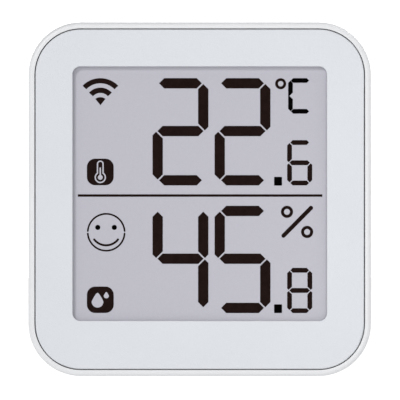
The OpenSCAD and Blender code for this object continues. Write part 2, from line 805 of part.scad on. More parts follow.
module fold_stand() color("#e6e8ea") place() difference() {
  union() {
    slab(stand_w, stand_axis_z - stand_foot, foot_r, stand_foot, stand_y0, stand_y1, back = stand_round);
    translate([0, 0, stand_axis_z - 2 * foot_r]) linear_extrude(height = 2 * foot_r)
      both_sides() edge_section(stand_w / 2, stand_y0, stand_y1, 0, stand_round);
    block([-stand_w / 2, stand_axis_y, stand_axis_z - stand_r], [stand_w / 2, stand_y1, stand_axis_z + heel_h]);
    axle(stand_axis_y, stand_axis_z, stand_r, -stand_w / 2, stand_w / 2);
    axle(stand_axis_y, stand_axis_z, pivot_d / 2, -stand_w / 2 - pivot_l, stand_w / 2 + pivot_l);
  }
  axle(stand_y1 + pull_r - pull_depth, stand_foot + pull_z, pull_r, -pull_half, pull_half);
}

module case_screws() color("#8f9296") place() both_sides() {
  screw(post_x, post_z, post_seat, case_screw_d, case_screw_l, case_head_d, case_head_h, case_head_round);
}

module board_screws() color("#9a9da1") place() both_sides() for (z = board_screw_z) {
  screw(board_screw_x, z, y_board_back, board_screw_d, board_screw_l, board_head_d, board_head_h,
        board_head_round);
}

front_bezel();
rear_case();
lcd_gasket();
lcd_front_polariser();
lcd_front_glass();
lcd_rear_glass();
lcd_reflector();
lcd_holder();
elastomer_strip();
main_board();
wireless_module();
wireless_shield();
display_driver();
humidity_sensor();
chip_capacitors();
push_switch();
switch_plunger();
pairing_button();
upper_cell();
lower_cell();
positive_contact();
negative_contact();
negative_spring();
bridge_contact();
bridge_spring();
battery_door();
fold_stand();
case_screws();
board_screws();
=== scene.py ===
"""Looks of a desk temperature and humidity sensor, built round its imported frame.

The object stands on z = 0 with its display facing -Y. Sizes in the classes are in
millimetres, as on a maker's drawing, and MM turns them into the scene's metres.
"""

import logging
import math
from abc import ABC, abstractmethod
from collections.abc import Mapping, Sequence
from dataclasses import dataclass
from enum import Enum

import bmesh
import bpy
from bmesh.types import BMEdge, BMesh, BMVert
from bpy.types import Material, Node, NodeSocket, NodeTree, Object
from mathutils import Matrix, Vector


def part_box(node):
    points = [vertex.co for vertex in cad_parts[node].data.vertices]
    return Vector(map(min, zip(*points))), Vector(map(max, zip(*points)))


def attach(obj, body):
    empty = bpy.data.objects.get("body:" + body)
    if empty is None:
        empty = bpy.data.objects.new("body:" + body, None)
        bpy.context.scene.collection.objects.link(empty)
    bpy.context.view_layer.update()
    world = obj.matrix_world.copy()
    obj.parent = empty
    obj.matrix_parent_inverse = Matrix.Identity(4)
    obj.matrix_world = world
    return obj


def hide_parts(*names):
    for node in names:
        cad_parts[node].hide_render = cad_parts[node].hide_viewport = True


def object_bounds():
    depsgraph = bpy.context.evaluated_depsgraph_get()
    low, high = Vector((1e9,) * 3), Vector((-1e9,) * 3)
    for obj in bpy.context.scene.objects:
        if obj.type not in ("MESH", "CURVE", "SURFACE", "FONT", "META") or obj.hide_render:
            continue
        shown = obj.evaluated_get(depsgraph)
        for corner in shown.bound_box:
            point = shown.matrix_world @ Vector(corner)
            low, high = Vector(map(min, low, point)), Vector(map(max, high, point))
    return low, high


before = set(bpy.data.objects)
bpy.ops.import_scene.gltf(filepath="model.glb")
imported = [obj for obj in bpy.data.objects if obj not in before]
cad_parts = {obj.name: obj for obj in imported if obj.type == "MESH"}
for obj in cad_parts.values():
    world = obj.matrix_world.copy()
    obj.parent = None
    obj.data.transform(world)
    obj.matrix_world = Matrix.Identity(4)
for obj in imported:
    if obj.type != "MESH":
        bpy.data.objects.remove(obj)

CAD_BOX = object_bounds()
MM = 0.001
TOUCH = 0.001 * MM
WELD = 0.0001 * MM
ROUND = 48
SHARP = math.radians(40.0)
WAVE = math.tau / 20.0
LOG = logging.getLogger("sensor")

Flat = tuple[float, float]
Colour = tuple[float, float, float, float]
Inputs = Mapping[str | int, float | Sequence[float] | NodeSocket]
Stops = Sequence[tuple[float, Colour]]
Extras = tuple[tuple[str, float], ...]


def linear(colour: str) -> Colour:
    """Turns an sRGB hex colour into linear light.

    Args:
        colour: Colour such as "#d0d3d8".

    Returns:
        Red, green and blue in linear light, with an alpha of one.
    """
    parts = [int(colour[i:i + 2], 16) / 255.0 for i in (1, 3, 5)]
    red, green, blue = (p / 12.92 if p <= 0.04045 else ((p + 0.055) / 1.055) ** 2.4 for p in parts)
    return (red, green, blue, 1.0)


def per_metre(size: float) -> float:
    """Gives the pattern scale whose cells are this many millimetres wide."""
    return 1.0 / (size * MM)


def only(kind: type, geometry: Sequence[object]) -> list:
    """Picks one kind out of an operator's vertices, edges and faces."""
    return [part for part in geometry if isinstance(part, kind)]


def polar(middle: Flat, radius: float, angle: float) -> Flat:
    """Gives the spot at a radius and an angle in degrees, clockwise from the top."""
    turn = math.radians(angle)
    return (middle[0] + radius * math.sin(turn), middle[1] + radius * math.cos(turn))


class Graph:
    """Node tree of a material or of the room, with its main shader and object coordinates."""

    def __init__(self, tree: NodeTree, shader: str) -> None:
        """Takes over a new tree.

        Args:
            tree: Node tree with its first nodes.
            shader: Name of its main shader.
        """
        self.tree = tree
        self.shader = tree.nodes[shader]
        self.place = self.add("TexCoord", "Object", {})

    def wire(self, node: Node, inputs: Inputs) -> None:
        """Sets a node's inputs, each to a value or to another node's output.

        Args:
            node: Node whose inputs are set.
            inputs: Value or output by the input's name or number.
        """
        for name, value in inputs.items():
            if isinstance(value, NodeSocket):
                self.tree.links.new(value, node.inputs[name])
            else:
                node.inputs[name].default_value = value

    def add(
        self, kind: str, output: str, inputs: Inputs, stops: Stops = (), **settings: object
    ) -> NodeSocket:
        """Adds one node with its settings, values and links.

        Args:
            kind: Blender's type name of the node, after its ShaderNode.
            output: Name of the output that is used.
            inputs: Value or output by the input's name or number.
            stops: Place and colour of each stop of a colour ramp, in rising order.
            settings: Attributes of the node, or of its colour ramp if it has one.

        Returns:
            The output.
        """
        node = self.tree.nodes.new(f"ShaderNode{kind}")
        for name, value in settings.items():
            setattr(node.color_ramp if stops else node, name, value)
        self.wire(node, inputs)
        if stops:
            elements = node.color_ramp.elements
            elements.remove(elements[1])
            elements[0].position, elements[0].color = stops[0]
            for place, colour in stops[1:]:
                elements.new(place).color = colour
        return node.outputs[output]


class Axis(Enum):
    """Direction along which a surface was rolled or brushed."""

    X = 0
    Y = 1
    Z = 2


@dataclass(frozen=True)
class Finish:
    """Surface of a real material, whose grain drives its relief and its gloss.

    Attributes:
        name: Common name of the material and how its surface was made.
        colour: Main colour.
        drift: Colour that it drifts to.
        roughness: Mean roughness.
        spread: How far the roughness swings with the grain.
        grain: Width of the grain in millimetres, nought for a plain surface.
        depth: Depth of the grain in millimetres.
        detail: Number of finer layers in the grain.
        grit: Strength of each finer layer.
        patch: Width of the colour's soft patches in millimetres, nought if it follows the grain.
        stops: Values between which the colour drifts.
        ior: Index of refraction.
        extras: Name and value of each socket that only this kind of material sets.
    """

    name: str
    colour: str
    drift: str
    roughness: float = 0.5
    spread: float = 0.0
    grain: float = 0.0
    depth: float = 0.0
    detail: float = 2.0
    grit: float = 0.5
    patch: float = 0.0
    stops: Flat = (0.35, 0.65)
    ior: float = 1.5
    extras: Extras = ()

    def spot(self, graph: Graph) -> NodeSocket:
        """Gives the coordinates that the grain and the patches follow."""
        return graph.place

    def height(self, graph: Graph) -> NodeSocket:
        """Draws the grain.

        Args:
            graph: Node tree of the material.

        Returns:
            The grain's height.
        """
        return graph.add("TexNoise", "Fac", {
            "Vector": graph.place,
            "Scale": per_metre(self.grain),
            "Detail": self.detail,
            "Roughness": self.grit,
        })

    def paint(self, graph: Graph, height: NodeSocket | None) -> NodeSocket:
        """Lets the main colour drift, in soft patches or with the grain.

        Args:
            graph: Node tree of the material.
            height: Height of the grain, if there is one.

        Returns:
            The drifting colour.
        """
        share = height
        if self.patch:
            inputs = {"Vector": graph.place, "Scale": per_metre(self.patch), "Detail": 2.0}
            share = graph.add("TexNoise", "Fac", inputs)
        colours = (linear(self.colour), linear(self.drift))
        return graph.add("ValToRGB", "Color", {"Fac": share}, tuple(zip(self.stops, colours)))

    def others(self, graph: Graph) -> Inputs:
        """Gives the sockets that differ by the kind of material."""
        return {"IOR": self.ior} | dict(self.extras)

    def shade(self, graph: Graph) -> None:
        """Sets the shader's sockets.

        Args:
            graph: Node tree of the material.
        """
        graph.place = self.spot(graph)
        height = self.height(graph) if self.grain else None
        sockets = {"Base Color": self.paint(graph, height), "Roughness": self.roughness}
        if self.spread:
            least, most = self.roughness - self.spread, self.roughness + self.spread
            inputs = {"Value": height, "To Min": least, "To Max": most}
            sockets["Roughness"] = graph.add("MapRange", "Result", inputs)
        if self.depth:
            inputs = {"Height": height, "Distance": self.depth * MM}
            sockets["Normal"] = graph.add("Bump", "Normal", inputs)
        graph.wire(graph.shader, sockets | self.others(graph))

    def material(self) -> Material:
        """Gives the material, which is made on first use.

        Returns:
            The material.
        """
        found = bpy.data.materials.get(self.name)
        if found:
            return found
        made = bpy.data.materials.new(self.name)
        made.use_nodes = True
        self.shade(Graph(made.node_tree, "Principled BSDF"))
        return made


@dataclass(frozen=True)
class MouldedPlastic(Finish):
    """ABS moulded in a spark-eroded tool: an even matte skin of shallow pits and slow flow marks.

    The pits spread every highlight into a soft veil. They are about 0.1 mm wide and 0.02 mm
    deep, and are drawn coarser, so that they show.
    """

    spread: float = 0.08
    grain: float = 0.36
    depth: float = 0.055
    grit: float = 0.6
    patch: float = 16.0
    ior: float = 1.53


@dataclass(frozen=True)
class AntiGlareFilm(Finish):
    """Polariser film with an etched coat, over the display's frosted reflector.

    The etched coat mirrors nothing, and the frost below shows as a faint cool speckle.
    The frost is about 0.05 mm fine and is drawn coarser, so that it shows.
    """

    roughness: float = 0.42
    grain: float = 0.4
    depth: float = 0.003
    patch: float = 0.4
    stops: Flat = (0.3, 0.7)
    ior: float = 1.49


@dataclass(frozen=True)
class DarkCrystal(Finish):
    """Twisted liquid crystal under voltage: light stops between the crossed polarisers.

    It lies under the film, so it has no gloss of its own, only a warm near-black with a
    faint mottle.
    """

    roughness: float = 0.6
    patch: float = 0.9
    extras: Extras = (("Specular IOR Level", 0.0),)


@dataclass(frozen=True)
class FloatGlass(Finish):
    """Float glass, fire-polished on both faces: clear, with a green cast at the edges.

    A slow ripple of the drawn sheet bends what is seen through it.
    """

    roughness: float = 0.03
    grain: float = 20.0
    depth: float = 0.004
    patch: float = 20.0
    ior: float = 1.52
    extras: Extras = (("Transmission Weight", 1.0),)


@dataclass(frozen=True)
class RolledMetal(Finish):
    """Rolled and plated sheet or wire: a metal with fine streaks along the rolling.

    The streaks are about 0.02 mm wide and are drawn coarser, so that they show.
    """

    roughness: float = 0.3
    spread: float = 0.12
    grain: float = 0.12
    depth: float = 0.004
    detail: float = 3.0
    patch: float = 0.48
    extras: Extras = (("Metallic", 1.0),)
    stretch: float = 14.0
    rolling: Axis = Axis.Z

    def spot(self, graph: Graph) -> NodeSocket:
        """Draws the coordinates out along the rolling.

        Args:
            graph: Node tree of the material.

        Returns:
            The drawn coordinates.
        """
        scale = [1.0, 1.0, 1.0]
        scale[self.rolling.value] = 1.0 / self.stretch
        return graph.add("Mapping", "Vector", {"Vector": graph.place, "Scale": scale})


@dataclass(frozen=True)
class Laminate(Finish):
    """Glass-cloth laminate under a cured solder mask: the weave telegraphs as a soft grid.

    Threads lie 0.5 mm apart under a half-gloss skin.
    """

    roughness: float = 0.32
    grain: float = 0.5
    depth: float = 0.01
    waver: float = 0.6
    stops: Flat = (0.2, 0.9)
    ior: float = 1.55

    def height(self, graph: Graph) -> NodeSocket:
        """Draws warp and weft.

        Args:
            graph: Node tree of the material.

        Returns:
            The weave's height.
        """
        scale = per_metre(self.grain) * WAVE
        inputs = {"Vector": graph.place, "Scale": scale, "Distortion": self.waver}
        warp = graph.add("TexWave", "Fac", inputs, bands_direction="X")
        weft = graph.add("TexWave", "Fac", inputs, bands_direction="Z")
        return graph.add("Math", "Value", {0: warp, 1: weft}, operation="MAXIMUM")


@dataclass(frozen=True)
class CellSkin(Finish):
    """Foamed or cast mass with small bubbles or grains: dull, with a pitted relief."""

    roughness: float = 0.85
    grain: float = 0.4
    depth: float = 0.03
    patch: float = 0.8

    def height(self, graph: Graph) -> NodeSocket:
        """Draws round pits."""
        inputs = {"Vector": graph.place, "Scale": per_metre(self.grain)}
        return graph.add("TexVoronoi", "Distance", inputs)


@dataclass(frozen=True)
class StripedSilicone(Finish):
    """Silicone strip with carbon-filled layers: fine dark stripes across pale rubber.

    The layers are 0.1 mm thick and are drawn coarser, so that they show.
    """

    roughness: float = 0.6
    grain: float = 0.4
    stops: Flat = (0.45, 0.55)
    ior: float = 1.41

    def height(self, graph: Graph) -> NodeSocket:
        """Draws the stripes along the strip's length."""
        inputs = {"Vector": graph.place, "Scale": per_metre(self.grain) * WAVE, "Distortion": 0.0}
        return graph.add("TexWave", "Fac", inputs, bands_direction="X")


@dataclass(frozen=True)
class CellJacket(Finish):
    """Printed plastic sleeve shrunk over a nickel-plated can.

    The sleeve is a half-gloss graphite with one pale band at the positive end, and bare
    metal shows at both ends. Where it shrank it has slow ripples that break its long highlight.

    Attributes:
        foot: Place x of the negative end in millimetres.
        nub: Place x of the positive end in millimetres.
        metal: Colour of the can.
        bare: Share of the length where the sleeve starts.
        band: Share of the length where the band starts.
        collar: Share of the length where the sleeve ends.
    """

    roughness: float = 0.31
    spread: float = 0.05
    grain: float = 5.0
    depth: float = 0.05
    detail: float = 1.0
    foot: float = 0.0
    nub: float = 44.5
    metal: str = "#c9c6be"
    bare: float = 0.012
    band: float = 0.78
    collar: float = 0.955

    def along(self, graph: Graph, bands: Sequence[tuple[float, str]]) -> NodeSocket:
        """Draws bands along the cell.

        Args:
            graph: Node tree of the material.
            bands: Share of the length where each band starts, and its colour.

        Returns:
            The banded colour.
        """
        place = graph.add("SeparateXYZ", "X", {"Vector": graph.place})
        inputs = {"Value": place, "From Min": self.foot * MM, "From Max": self.nub * MM}
        share = graph.add("MapRange", "Result", inputs)
        stops = [(start, linear(colour)) for start, colour in bands]
        return graph.add("ValToRGB", "Color", {"Fac": share}, stops, interpolation="CONSTANT")

    def paint(self, graph: Graph, height: NodeSocket | None) -> NodeSocket:
        """Sets the colours of foot, sleeve, band and collar."""
        sleeve = ((self.bare, self.colour), (self.band, self.drift))
        return self.along(graph, ((0.0, self.metal), *sleeve, (self.collar, self.metal)))

    def others(self, graph: Graph) -> Inputs:
        """Makes both bare ends metal."""
        ends = ((0.0, "#ffffff"), (self.bare, "#000000"), (self.collar, "#ffffff"))
        return {"Metallic": self.along(graph, ends)}


@dataclass(frozen=True)
class OpalSheet(Finish):
    """Opal acrylic sheet, sanded and lit from below: an even, faintly clouded white."""

    roughness: float = 0.95
    patch: float = 60.0
    extras: Extras = (("Specular IOR Level", 0.1), ("Emission Strength", 0.93))


BEZEL_ABS = MouldedPlastic("moulded_abs_cool_grey", "#cdd0d5", "#cbced3")
CASE_ABS = MouldedPlastic("moulded_abs_white", "#d8d9db", "#d6d7d9", roughness=0.42, depth=0.045)
BUTTON_ABS = MouldedPlastic("moulded_abs_pale_grey", "#c3c6cb", "#c0c3c8", roughness=0.45)
HOLDER_ABS = MouldedPlastic("moulded_abs_holder", "#e2e2de", "#dcdcd7", roughness=0.55)
SWITCH_NYLON = MouldedPlastic("moulded_nylon_black", "#1b1b1c", "#232324", roughness=0.4)
FILM = AntiGlareFilm("anti_glare_polariser", "#afaeb7", "#adacb5")
CRYSTAL = DarkCrystal("dark_liquid_crystal", "#1c1311", "#201614")
SOLID_CRYSTAL = DarkCrystal("black_liquid_crystal", "#040303", "#070606")
GLASS = FloatGlass("float_glass", "#e9f4ef", "#e4f1eb")
REFLECTOR = RolledMetal("metallised_film", "#b9bac0", "#c2c3c8", roughness=0.45, rolling=Axis.X)
FOAM = CellSkin("closed_cell_foam", "#161617", "#1e1e1f")
EPOXY = CellSkin("moulded_epoxy", "#141416", "#1a1a1c", roughness=0.5, grain=0.15, depth=0.006, patch=0.3)
CERAMIC = CellSkin(
    "fired_ceramic", "#a98a63", "#b29670", roughness=0.55, grain=0.12, depth=0.004, patch=0.24
)
STRIP = StripedSilicone("layered_silicone", "#d9a9b0", "#2a2626")
BOARD = Laminate("green_masked_laminate", "#135a2b", "#1a6a34")
MODULE = Laminate("dark_masked_laminate", "#0b2f1c", "#103a24")
TIN = RolledMetal("tin_plated_sheet", "#c4c4c6", "#cfcfd0", roughness=0.32, rolling=Axis.X)
NICKEL = RolledMetal("nickel_plated_spring_steel", "#cdc8bd", "#d6d2c8", roughness=0.26, rolling=Axis.Z)
ZINC = RolledMetal("zinc_plated_steel", "#a9acb0", "#b6b9bd", roughness=0.36, stretch=1.0)
OPAL = OpalSheet("lit_opal_acrylic", "#8c8c8c", "#898989")


def dress(finishes: Mapping[str, Finish]) -> list[Object]:
    """Gives CAD nodes their finishes.

    Args:
        finishes: Finish by the node's name.

    Returns:
        The nodes' objects.
    """
    pieces = [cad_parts[node] for node in finishes]
    for piece, finish in zip(pieces, finishes.values()):
        piece.data.materials.clear()
        piece.data.materials.append(finish.material())
    return pieces


def make_piece(name: str, mesh: BMesh, finish: Finish, body: str) -> Object:
    """Turns a modelled mesh into a piece that rides on a body.

    Args:
        name: Name of the piece.
        mesh: Its finished mesh, which is used up.
        finish: Its surface.
        body: Body that carries it.

    Returns:
        The new object.
    """
    bmesh.ops.remove_doubles(mesh, verts=mesh.verts[:], dist=WELD)
    bmesh.ops.recalc_face_normals(mesh, faces=mesh.faces[:])
    data = bpy.data.meshes.new(name)
    mesh.to_mesh(data)
    mesh.free()
    data.shade_smooth()
    data.set_sharp_from_angle(angle=SHARP)
    data.materials.append(finish.material())
    piece = bpy.data.objects.new(name, data)
    bpy.context.scene.collection.objects.link(piece)
    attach(piece, body)
    return piece


class Assembly(ABC):
    """Sub-assembly of the sensor."""

    @abstractmethod
    def build(self) -> list[Object]:
        """Builds and dresses the pieces, and gives them."""


@dataclass
class CaseShell(Assembly):
    """Moulded rear case with its rounded rim, and the bezel set into it."""

    bezel: Finish = BEZEL_ABS
    case: Finish = CASE_ABS

    def build(self) -> list[Object]:
        """Dresses the two mouldings."""
        return dress({"front_bezel": self.bezel, "rear_case": self.case})


@dataclass
class DisplayStack(Assembly):
    """Glass cell of the display with its films, gasket, holder and contact strip."""

    glass: Finish = GLASS

    def build(self) -> list[Object]:
        """Dresses the layers from front to back.

        Returns:
            The layers.
        """
        return dress({
            "lcd_gasket": FOAM,
            "lcd_front_polariser": FILM,
            "lcd_front_glass": self.glass,
            "lcd_rear_glass": self.glass,
            "lcd_reflector": REFLECTOR,
            "lcd_holder": HOLDER_ABS,
            "elastomer_strip": STRIP,
        })


@dataclass(frozen=True)
class Swing:
    """Arc of an outline: its centre and its angle in degrees, clockwise as read."""

    middle: Flat
    angle: float


class SignSheet:
    """Flat signs on the display's face, each raised to a thin solid.

    Signs are drawn in x and z millimetres as the reader sees them.
    """

    arc_step: float = 6.0
    least_steps: int = 4

    def __init__(self, face: float, lift: float) -> None:
        """Starts an empty sheet.

        Args:
            face: Depth y of the surface that carries the signs, in millimetres.
            lift: Thickness of the signs in millimetres.
        """
        self.mesh = bmesh.new()
        self.face = face
        self.lift = lift

    def at(self, spot: Flat) -> Vector:
        """Gives a flat spot's place in the scene."""
        return Vector((spot[0], self.face, spot[1])) * MM

    def open_edges(self) -> list[BMEdge]:
        """Gives the edges of an outline that isn't filled yet."""
        return [e for e in self.mesh.edges if not e.link_faces]

    def swing(self, start: BMVert, arc: Swing) -> BMVert:
        """Draws an arc.

        Args:
            start: Corner that it starts from.
            arc: Its centre and angle.

        Returns:
            The corner that it ends in.
        """
        made = bmesh.ops.spin(
            self.mesh,
            geom=[start],
            cent=self.at(arc.middle),
            axis=(0.0, 1.0, 0.0),
            angle=math.radians(arc.angle),
            steps=max(self.least_steps, round(abs(arc.angle) / self.arc_step)),
        )
        return only(BMVert, made["geom_last"])[0]

    def outline(self, start: Flat, steps: Sequence[Flat | Swing]) -> None:
        """Draws one closed outline and fills it.

        Args:
            start: First corner.
            steps: Next corners, or arcs that start at the last corner.
        """
        first = last = self.mesh.verts.new(self.at(start))
        for step in steps:
            if isinstance(step, Swing):
                last = self.swing(last, step)
            else:
                corner = self.mesh.verts.new(self.at(step))
                self.mesh.edges.new((last, corner))
                last = corner
        if (last.co - first.co).length > TOUCH:
            self.mesh.edges.new((last, first))
        loose = list({v for e in self.open_edges() for v in e.verts})
        bmesh.ops.remove_doubles(self.mesh, verts=loose, dist=TOUCH)
        bmesh.ops.edgeloop_fill(self.mesh, edges=self.open_edges())

    def disc(self, middle: Flat, radius: float) -> list[BMVert]:
        """Draws a round dot.

        Args:
            middle: Its middle.
            radius: Its radius.

        Returns:
            The vertices of its rim.
        """
        upright = Matrix.Translation(self.at(middle)) @ Matrix.Rotation(math.pi / 2.0, 4, "X")
        made = bmesh.ops.create_circle(
            self.mesh, cap_ends=True, segments=ROUND, radius=radius * MM, matrix=upright
        )
        return made["verts"]

    def solid(self) -> BMesh:
        """Raises all the signs towards the reader.

        Returns:
            The sheet's mesh.
        """
        made = bmesh.ops.extrude_face_region(self.mesh, geom=self.mesh.faces[:])
        raised = only(BMVert, made["geom"])
        bmesh.ops.translate(self.mesh, verts=raised, vec=(0.0, -self.lift * MM, 0.0))
        return self.mesh


class Sign(ABC):
    """Flat shape on the display, in millimetres."""

    @abstractmethod
    def draw(self, sheet: SignSheet) -> None:
        """Draws the sign.

        Args:
            sheet: Sheet that gets it.
        """


class Bar(Enum):
    """Bars of a seven-bar digit, each with its side and its level."""

    TOP = (0, 1)
    UPPER_RIGHT = (1, 1)
    LOWER_RIGHT = (1, -1)
    BOTTOM = (0, -1)
    LOWER_LEFT = (-1, -1)
    UPPER_LEFT = (-1, 1)
    MIDDLE = (0, 0)


DARK_BARS: dict[str, tuple[Bar, ...]] = {
    "2": (Bar.TOP, Bar.UPPER_RIGHT, Bar.MIDDLE, Bar.LOWER_LEFT, Bar.BOTTOM),
    "4": (Bar.UPPER_LEFT, Bar.UPPER_RIGHT, Bar.MIDDLE, Bar.LOWER_RIGHT),
    "5": (Bar.TOP, Bar.UPPER_LEFT, Bar.MIDDLE, Bar.LOWER_RIGHT, Bar.BOTTOM),
    "6": (Bar.TOP, Bar.UPPER_LEFT, Bar.MIDDLE, Bar.LOWER_LEFT, Bar.LOWER_RIGHT, Bar.BOTTOM),
    "8": tuple(Bar),
    "C": (Bar.TOP, Bar.BOTTOM),
}


@dataclass(frozen=True)
class DigitStyle:
    """Proportions of a digit whose bars all end in slopes of 45 degrees.

    Attributes:
        width: Over the upright bars.
        height: Over the top and bottom bars.
        stroke: Width of a bar.
        bar_pull: How far a level bar's tip stays back from a corner.
        post_pull: How far an upright bar's tip stays back from a corner.
        flare: How far the corners at the waist lie outside the upright bars' middle.
        rise: How far the middle bar lies above half height.
    """

    width: float
    height: float
    stroke: float
    bar_pull: float
    post_pull: float
    flare: float
    rise: float

    def outline(self, bar: Bar) -> list[Flat]:
        """Gives a bar's outline round the digit's middle.

        Args:
            bar: Bar to draw.

        Returns:
            Its six corners.
        """
        half = self.stroke / 2.0
        side, level = bar.value
        corner = self.width / 2.0 - half
        end = level * (self.height / 2.0 - half)
        if side == 0:
            tip = corner - self.bar_pull + (0.0 if level else self.flare)
            middle = end if level else self.rise
            flat = tip - half
            upper = [(-tip, middle), (-flat, middle + half), (flat, middle + half)]
            return upper + [(tip, middle), (flat, middle - half), (-flat, middle - half)]
        top = end - level * self.post_pull
        waist = self.rise + level * self.post_pull
        spots = [
            (corner, top),
            (corner + half, top - level * half),
            (corner + half, waist + level * (half - self.flare)),
            (corner + self.flare, waist),
            (corner - half, waist + level * (half + self.flare)),
            (corner - half, top - level * half),
        ]
        return [(side * x, z) for x, z in spots]


@dataclass(frozen=True)
class Patch(Sign):
    """Shape with straight sides, by its corners round its middle."""

    corners: Sequence[Flat]
    middle: Flat

    def draw(self, sheet: SignSheet) -> None:
        """Draws the shape."""
        start, *others = [(x + self.middle[0], z + self.middle[1]) for x, z in self.corners]
        sheet.outline(start, others)


@dataclass(frozen=True)
class Digit(Sign):
    """Dark bars of a digit or a letter round its middle."""

    style: DigitStyle
    sign: str
    middle: Flat

    def draw(self, sheet: SignSheet) -> None:
        """Draws the bars."""
        for bar in DARK_BARS[self.sign]:
            Patch(self.style.outline(bar), self.middle).draw(sheet)


@dataclass(frozen=True)
class Drop(Sign):
    """Round dot, or a falling drop whose upper half is drawn out to a tip.

    Attributes:
        middle: Middle of its round part.
        radius: Radius of its round part.
        apex: Height of its tip above the middle, nought for a dot.
        taper: How far the sides close in towards the tip.
    """

    middle: Flat
    radius: float
    apex: float = 0.0
    taper: float = 0.52

    def draw(self, sheet: SignSheet) -> None:
        """Draws the dot or the drop.

        Args:
            sheet: Sheet that gets it.
        """
        centre = sheet.at(self.middle)
        for vert in sheet.disc(self.middle, self.radius):
            level = (vert.co.z - centre.z) / (self.radius * MM)
            if self.apex and level > 0.0:
                vert.co.x = centre.x + (vert.co.x - centre.x) * (1.0 - self.taper * level)
                vert.co.z = centre.z + level * self.apex * MM


@dataclass(frozen=True)
class Ring(Sign):
    """Closed ring, by its outer radius and the width of its line."""

    middle: Flat
    outer: float
    stroke: float

    def draw(self, sheet: SignSheet) -> None:
        """Draws the ring.

        Args:
            sheet: Sheet that gets it.
        """
        ends = [polar(self.middle, radius, 0.0) for radius in (self.outer - self.stroke, self.outer)]
        spoke = [sheet.mesh.verts.new(sheet.at(end)) for end in ends]
        bmesh.ops.spin(
            sheet.mesh,
            geom=[*spoke, sheet.mesh.edges.new(spoke)],
            cent=sheet.at(self.middle),
            axis=(0.0, 1.0, 0.0),
            angle=math.tau,
            steps=ROUND,
            use_merge=True,
        )


@dataclass(frozen=True)
class Ribbon(Sign):
    """Arc of even width with round ends.

    Attributes:
        middle: Centre of the arc.
        radius: Radius of its middle line.
        stroke: Its width.
        start: Angle of its start in degrees, clockwise from the top.
        sweep: Its angle in degrees, clockwise.
    """

    middle: Flat
    radius: float
    stroke: float
    start: float
    sweep: float

    def draw(self, sheet: SignSheet) -> None:
        """Draws the arc out along its outer side and back along its inner one.

        Args:
            sheet: Sheet that gets it.
        """
        near, far = (polar(self.middle, self.radius, self.start + turn) for turn in (0.0, self.sweep))
        steps = (
            Swing(self.middle, self.sweep),
            Swing(far, 180.0),
            Swing(self.middle, -self.sweep),
            Swing(near, 180.0),
        )
        sheet.outline(polar(self.middle, self.radius + self.stroke / 2.0, self.start), steps)


@dataclass(frozen=True)
class Sector(Sign):
    """Upright part of a ring, or of a disc if its inner radius is nought, with radial ends.

    The angle is the one to each side, in degrees.
    """

    middle: Flat
    inner: float
    outer: float
    half_angle: float

    def draw(self, sheet: SignSheet) -> None:
        """Draws the outer arc and the way back, through the inner arc or the tip.

        Args:
            sheet: Sheet that gets it.
        """
        sweep = 2.0 * self.half_angle
        back: tuple[Flat | Swing, ...] = (self.middle,)
        if self.inner:
            back = (polar(self.middle, self.inner, self.half_angle), Swing(self.middle, -sweep))
        start = polar(self.middle, self.outer, -self.half_angle)
        sheet.outline(start, (Swing(self.middle, sweep), *back))


@dataclass(frozen=True)
class Slash(Sign):
    """Slanting bar with round ends, by the centres of the ends."""

    low: Flat
    high: Flat
    stroke: float

    def draw(self, sheet: SignSheet) -> None:
        """Draws the bar.

        Args:
            sheet: Sheet that gets it.
        """
        slant = math.degrees(math.atan2(self.high[0] - self.low[0], self.high[1] - self.low[1]))
        half = self.stroke / 2.0
        steps = (
            polar(self.high, half, slant - 90.0),
            Swing(self.high, 180.0),
            polar(self.low, half, slant + 90.0),
            Swing(self.low, 180.0),
        )
        sheet.outline(polar(self.low, half, slant - 90.0), steps)


@dataclass(frozen=True)
class Tile(Sign):
    """Rectangle with rounded corners, by its lower left and upper right corners."""

    low: Flat
    high: Flat
    corner: float

    def draw(self, sheet: SignSheet) -> None:
        """Draws the rectangle and rounds its corners.

        Args:
            sheet: Sheet that gets it.
        """
        spots = (self.low, (self.high[0], self.low[1]), self.high, (self.low[0], self.high[1]))
        verts = [sheet.mesh.verts.new(sheet.at(spot)) for spot in spots]
        sheet.mesh.faces.new(verts)
        bmesh.ops.bevel(
            sheet.mesh,
            geom=verts,
            offset=self.corner * MM,
            segments=8,
            profile=0.5,
            affect="VERTICES",
            material=-1,
        )


@dataclass(frozen=True)
class Flask(Sign):
    """Thermometer's outline: a round bulb with a stem that ends round.

    Attributes:
        bulb: Middle of the bulb.
        radius: Radius of the bulb.
        stem: Width of the stem.
        top: Height z of the stem's end.
    """

    bulb: Flat
    radius: float
    stem: float
    top: float

    def draw(self, sheet: SignSheet) -> None:
        """Draws bulb and stem in one outline.

        Args:
            sheet: Sheet that gets it.
        """
        half = self.stem / 2.0
        spread = math.degrees(math.asin(half / self.radius))
        shoulder = self.top - half
        steps = (
            Swing(self.bulb, 360.0 - 2.0 * spread),
            (self.bulb[0] - half, shoulder),
            Swing((self.bulb[0], shoulder), 180.0),
        )
        sheet.outline(polar(self.bulb, self.radius, spread), steps)


@dataclass(frozen=True)
class SignPiece:
    """Signs that make one piece, with their finish and the number of layers below them."""

    name: str
    signs: tuple[Sign, ...]
    finish: Finish = CRYSTAL
    below: int = 0


